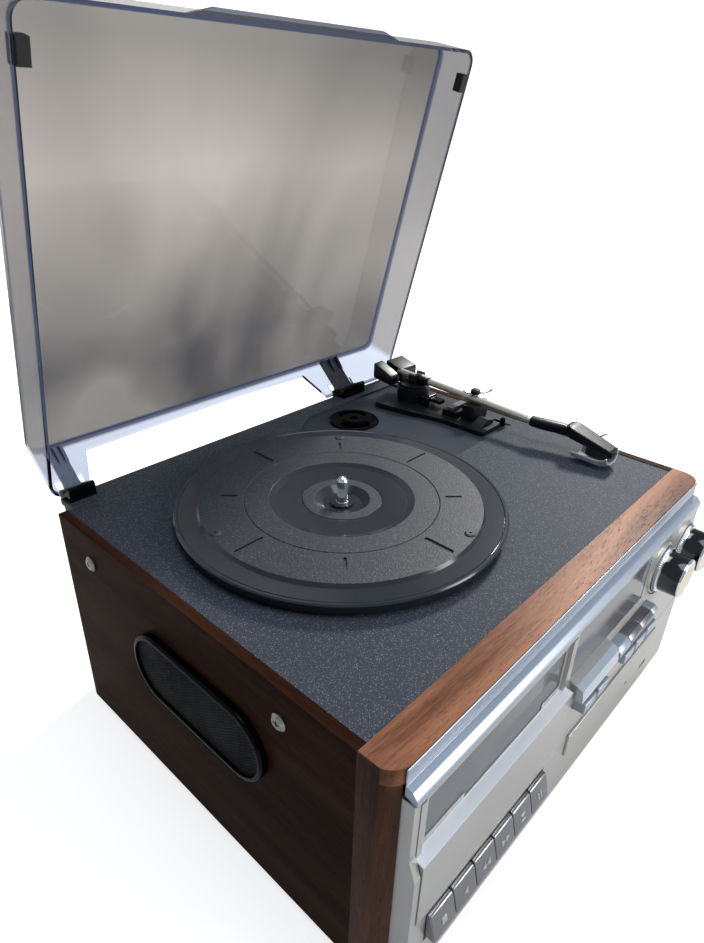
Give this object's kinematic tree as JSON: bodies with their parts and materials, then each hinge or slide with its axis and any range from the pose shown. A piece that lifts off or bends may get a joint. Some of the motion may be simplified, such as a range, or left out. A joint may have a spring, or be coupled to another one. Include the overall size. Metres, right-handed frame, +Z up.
{
  "type": "stereo music centre",
  "caption": "wooden tabletop music centre with a record deck under a hinged clear lid, a cassette deck, a disc drawer, a radio tuner and side speakers",
  "frame": {"origin": "middle of the wooden cabinet footprint on the plane of the feet", "axes": "+X to the right seen from the front, +Y to the back, +Z up"},
  "size_m": [0.365, 0.3515, 0.447],
  "materials": {
    "walnut_dark": "satin dark walnut veneer",
    "walnut_front": "satin red-brown walnut veneer",
    "base_board": "raw fibreboard",
    "deck_black": "fine sparkle grain",
    "black_plastic": "moulded",
    "gloss_black": "polished",
    "platter_grey": "fine grain top",
    "silver": "warm silver paint",
    "dark_silver": "dark silver paint",
    "trim_blue": "pale blue-silver paint",
    "chrome": "polished plate",
    "steel": "plain",
    "grey_plastic": "moulded",
    "white_clear": "milky clear",
    "smoke": "smoke tinted clear",
    "dark_window": "dark tinted",
    "rubber": "matte",
    "mesh": "black",
    "board_green": "coated board",
    "knob_black": "black chrome with pale gold face"
  },
  "bodies": {
    "cabinet": {"side_panel_left": "walnut_dark", "side_panel_right": "walnut_dark", "front_frame": "walnut_front", "bottom_board": "base_board", "rear_cover": "black_plastic", "deck_plate": "deck_black", "nose_trim": "trim_blue", "front_fascia": "silver", "feet": "rubber", "side_screws": "steel", "speaker_rings": "gloss_black", "speaker_meshes": "mesh", "speaker_drivers": "black_plastic", "spindle": "chrome", "turntable_motor": "steel", "drive_belt": "rubber", "tonearm_base": "black_plastic", "arm_rest_post": "black_plastic", "hinge_knuckles": "gloss_black", "cassette_mechanism": "black_plastic", "display_lens": "dark_window", "cd_mechanism": "black_plastic", "circuit_boards": "board_green", "rear_sockets": "black_plastic"},
    "platter_body": {"platter": "platter_grey"},
    "pulley_body": {"motor_pulley": "steel"},
    "adapter_body": {"adapter_45": "gloss_black"},
    "arm_yoke_body": {"tonearm_yoke": "black_plastic"},
    "arm_body": {"tonearm_tube": "chrome", "counterweight": "black_plastic", "headshell": "black_plastic", "cartridge": "black_plastic", "stylus_guard": "white_clear"},
    "clip_body": {"arm_clip": "chrome"},
    "cue_body": {"cue_lever": "gloss_black"},
    "platform_body": {"lift_platform": "grey_plastic"},
    "switch_body": {"speed_switch": "chrome"},
    "lid_body": {"lid": "smoke", "lid_bumpers": "rubber", "hinge_blades": "gloss_black"},
    "door_body": {"cassette_door": "silver", "cassette_window": "dark_window"},
    "tray_body": {"cd_tray": "silver"},
    "volume_body": {"volume_knob": "knob_black"},
    "tuning_body": {"tuning_knob": "knob_black"},
    "key_body_1": {"cassette_key_1": "dark_silver"},
    "key_body_2": {"cassette_key_2": "dark_silver"},
    "key_body_3": {"cassette_key_3": "dark_silver"},
    "key_body_4": {"cassette_key_4": "dark_silver"},
    "key_body_5": {"cassette_key_5": "dark_silver"},
    "key_body_6": {"cassette_key_6": "dark_silver"},
    "mode_body_1": {"mode_key_1": "silver"},
    "mode_body_2": {"mode_key_2": "silver"},
    "mode_body_3": {"mode_key_3": "silver"},
    "mode_body_4": {"mode_key_4": "silver"},
    "button_body_1": {"small_button_1": "silver"},
    "button_body_2": {"small_button_2": "silver"},
    "button_body_3": {"small_button_3": "silver"},
    "button_body_4": {"small_button_4": "silver"},
    "button_body_5": {"small_button_5": "silver"}
  },
  "joints": [
    {"name": "lid_hinge", "type": "hinge", "parent": "cabinet", "child": "lid_body", "pos_m": [0, 0.1597, 0.1687], "axis": [1, 0, 0], "range_deg": [0, 76]},
    {"name": "platter_spin", "type": "hinge", "parent": "cabinet", "child": "platter_body", "pos_m": [-0.044, 0.0161, 0.172], "axis": [0, 0, 1], "continuous": true},
    {"name": "pulley_spin", "type": "hinge", "parent": "cabinet", "child": "pulley_body", "pos_m": [-0.12281, 0.0616, 0.165], "axis": [0, 0, 1], "continuous": true},
    {"name": "adapter_lift", "type": "slide", "parent": "cabinet", "child": "adapter_body", "axis": [0, 0, 1], "range_m": [0, 0.02]},
    {"name": "arm_swing", "type": "hinge", "parent": "cabinet", "child": "arm_yoke_body", "pos_m": [0.139, 0.1015, 0.18], "axis": [0, 0, 1], "range_deg": [-48, 0]},
    {"name": "arm_lift", "type": "hinge", "parent": "arm_yoke_body", "child": "arm_body", "pos_m": [0.143, 0.1015, 0.189], "axis": [-1, 0, 0], "range_deg": [0, 4.32]},
    {"name": "arm_clip_turn", "type": "hinge", "parent": "cabinet", "child": "clip_body", "pos_m": [0.148, 0.0395, 0.1775], "axis": [0, 1, 0], "range_deg": [0, 60]},
    {"name": "cue_lever_turn", "type": "hinge", "parent": "cabinet", "child": "cue_body", "pos_m": [0.139, 0.082, 0.1755], "axis": [-1, 0, 0], "range_deg": [0, 30]},
    {"name": "lift_platform_rise", "type": "slide", "parent": "cabinet", "child": "platform_body", "axis": [0, 0, 1], "range_m": [0, 0.0025]},
    {"name": "speed_switch_slide", "type": "slide", "parent": "cabinet", "child": "switch_body", "axis": [0, 1, 0], "range_m": [0, 0.006]},
    {"name": "cassette_door_turn", "type": "hinge", "parent": "cabinet", "child": "door_body", "pos_m": [-0.094, -0.1477, 0.0643], "axis": [1, 0, 0], "range_deg": [0, 35]},
    {"name": "cassette_key_press_1", "type": "hinge", "parent": "cabinet", "child": "key_body_1", "pos_m": [-0.14595, -0.126, 0.05], "axis": [1, 0, 0], "range_deg": [0, 5], "stiffness_Nm_per_rad": 0.3, "springref_deg": -2.86},
    {"name": "cassette_key_press_2", "type": "hinge", "parent": "cabinet", "child": "key_body_2", "pos_m": [-0.12685, -0.126, 0.05], "axis": [1, 0, 0], "range_deg": [0, 5], "stiffness_Nm_per_rad": 0.3, "springref_deg": -2.86},
    {"name": "cassette_key_press_3", "type": "hinge", "parent": "cabinet", "child": "key_body_3", "pos_m": [-0.10775, -0.126, 0.05], "axis": [1, 0, 0], "range_deg": [0, 5], "stiffness_Nm_per_rad": 0.3, "springref_deg": -2.86},
    {"name": "cassette_key_press_4", "type": "hinge", "parent": "cabinet", "child": "key_body_4", "pos_m": [-0.08865, -0.126, 0.05], "axis": [1, 0, 0], "range_deg": [0, 5], "stiffness_Nm_per_rad": 0.3, "springref_deg": -2.86},
    {"name": "cassette_key_press_5", "type": "hinge", "parent": "cabinet", "child": "key_body_5", "pos_m": [-0.06955, -0.126, 0.05], "axis": [1, 0, 0], "range_deg": [0, 5], "stiffness_Nm_per_rad": 0.3, "springref_deg": -2.86},
    {"name": "cassette_key_press_6", "type": "hinge", "parent": "cabinet", "child": "key_body_6", "pos_m": [-0.05045, -0.126, 0.05], "axis": [1, 0, 0], "range_deg": [0, 5], "stiffness_Nm_per_rad": 0.3, "springref_deg": -2.86},
    {"name": "mode_key_press_1", "type": "slide", "parent": "cabinet", "child": "mode_body_1", "axis": [0, 1, 0], "range_m": [0, 0.0012], "stiffness_N_per_m": 300, "springref_m": -0.001},
    {"name": "mode_key_press_2", "type": "slide", "parent": "cabinet", "child": "mode_body_2", "axis": [0, 1, 0], "range_m": [0, 0.0012], "stiffness_N_per_m": 300, "springref_m": -0.001},
    {"name": "mode_key_press_3", "type": "slide", "parent": "cabinet", "child": "mode_body_3", "axis": [0, 1, 0], "range_m": [0, 0.0012], "stiffness_N_per_m": 300, "springref_m": -0.001},
    {"name": "mode_key_press_4", "type": "slide", "parent": "cabinet", "child": "mode_body_4", "axis": [0, 1, 0], "range_m": [0, 0.0012], "stiffness_N_per_m": 300, "springref_m": -0.001},
    {"name": "small_button_press_1", "type": "slide", "parent": "cabinet", "child": "button_body_1", "axis": [0, 1, 0], "range_m": [0, 0.0012], "stiffness_N_per_m": 300, "springref_m": -0.001},
    {"name": "small_button_press_2", "type": "slide", "parent": "cabinet", "child": "button_body_2", "axis": [0, 1, 0], "range_m": [0, 0.0012], "stiffness_N_per_m": 300, "springref_m": -0.001},
    {"name": "small_button_press_3", "type": "slide", "parent": "cabinet", "child": "button_body_3", "axis": [0, 1, 0], "range_m": [0, 0.0012], "stiffness_N_per_m": 300, "springref_m": -0.001},
    {"name": "small_button_press_4", "type": "slide", "parent": "cabinet", "child": "button_body_4", "axis": [0, 1, 0], "range_m": [0, 0.0012], "stiffness_N_per_m": 300, "springref_m": -0.001},
    {"name": "small_button_press_5", "type": "slide", "parent": "cabinet", "child": "button_body_5", "axis": [0, 1, 0], "range_m": [0, 0.0012], "stiffness_N_per_m": 300, "springref_m": -0.001},
    {"name": "cd_tray_slide", "type": "slide", "parent": "cabinet", "child": "tray_body", "axis": [0, -1, 0], "range_m": [0, 0.125]},
    {"name": "volume_turn", "type": "hinge", "parent": "cabinet", "child": "volume_body", "pos_m": [0.1088, -0.155, 0.125], "axis": [0, 1, 0], "range_deg": [-140, 140]},
    {"name": "tuning_turn", "type": "hinge", "parent": "cabinet", "child": "tuning_body", "pos_m": [0.1498, -0.155, 0.125], "axis": [0, 1, 0], "range_deg": [-150, 150]}
  ],
  "couplings": [
    {"joint": "pulley_spin", "follows": "platter_spin", "ratio": 11.5},
    {"joint": "arm_lift", "follows": "arm_swing", "ratio": -0.09},
    {"joint": "cue_lever_turn", "follows": "lift_platform_rise", "rad_per_m": 195}
  ]
}
